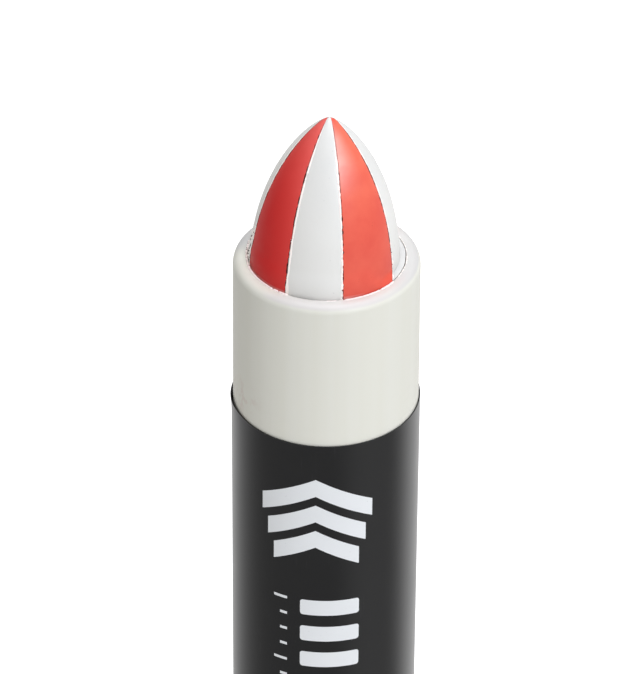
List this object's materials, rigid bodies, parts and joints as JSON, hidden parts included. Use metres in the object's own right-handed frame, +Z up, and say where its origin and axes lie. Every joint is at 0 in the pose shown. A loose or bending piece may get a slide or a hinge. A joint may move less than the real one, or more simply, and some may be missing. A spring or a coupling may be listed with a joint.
{
  "type": "solid paint marker",
  "caption": "Uncapped twist-up marker: a pointed red and white striped paint stick in a round ivory barrel with a plain black film label and a ribbed twist knob.",
  "frame": {"origin": "centre of the foot of the twist knob, on the ground plane that the marker stands on", "axes": "+Z up along the barrel from the knob to the tip of the stick, -Y the front of the label, away from its lapped seam, +X to the right of it"},
  "size_m": [0.0194, 0.0194, 0.1343],
  "materials": {
    "ivory_plastic": "satin, faintly smudged",
    "label_film": "satin printed film",
    "knob_plastic": "satin, moulded grip grooves",
    "seal_rubber": "matte",
    "natural_plastic": "unpigmented, satin",
    "white_paint": "waxy solid paint, fine pits",
    "red_paint": "waxy solid paint, fine pits"
  },
  "bodies": {
    "barrel": {"barrel": "ivory_plastic", "wrap_label": "label_film"},
    "knob": {"twist_knob": "knob_plastic", "seal_ring": "seal_rubber", "lead_screw": "natural_plastic"},
    "stick": {"stick_carrier": "natural_plastic", "paint_wedge_white_1": "white_paint", "paint_wedge_white_2": "white_paint", "paint_wedge_white_3": "white_paint", "paint_wedge_white_4": "white_paint", "paint_wedge_red_1": "red_paint", "paint_wedge_red_2": "red_paint", "paint_wedge_red_3": "red_paint", "paint_wedge_red_4": "red_paint"}
  },
  "joints": [
    {"name": "knob_twist", "type": "hinge", "parent": "barrel", "child": "knob", "pos_m": [0, 0, 0.006], "axis": [0, 0, 1], "range_deg": [-764, 989]},
    {"name": "stick_feed", "type": "slide", "parent": "barrel", "child": "stick", "axis": [0, 0, 1], "range_m": [-0.017, 0.022]}
  ],
  "couplings": [
    {"joint": "stick_feed", "follows": "knob_twist", "m_per_rad": 0.0012732}
  ]
}
